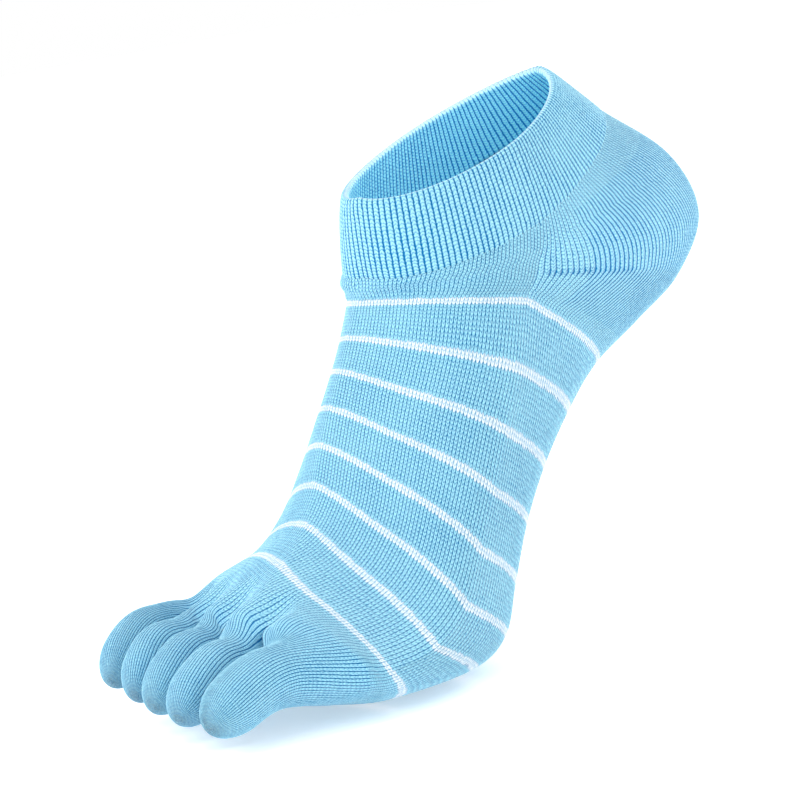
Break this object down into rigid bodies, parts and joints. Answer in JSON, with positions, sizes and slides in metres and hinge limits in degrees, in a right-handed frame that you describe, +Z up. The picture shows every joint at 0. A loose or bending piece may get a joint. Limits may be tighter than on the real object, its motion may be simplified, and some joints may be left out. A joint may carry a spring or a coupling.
{
  "type": "toe sock",
  "caption": "Low-cut knitted toe sock for a right foot, held in the form of a foot on tiptoe, with a mesh-rib cuff, a shaped heel and a tube for each toe.",
  "frame": {"origin": "middle of the ankle opening, halfway between the front and the back of the rim", "axes": "+Z up, -Y towards the toes along the floor, +X towards the inner side of the right foot"},
  "size_m": [0.0886, 0.2191, 0.1423],
  "materials": {
    "knit": "matt pale blue cotton knit with narrow white stripes"
  },
  "bodies": {
    "root": {"cuff": "knit", "foot_tube": "knit", "heel_pocket": "knit", "big_toe": "knit", "second_toe": "knit", "third_toe": "knit", "fourth_toe": "knit", "little_toe": "knit"}
  },
  "joints": []
}
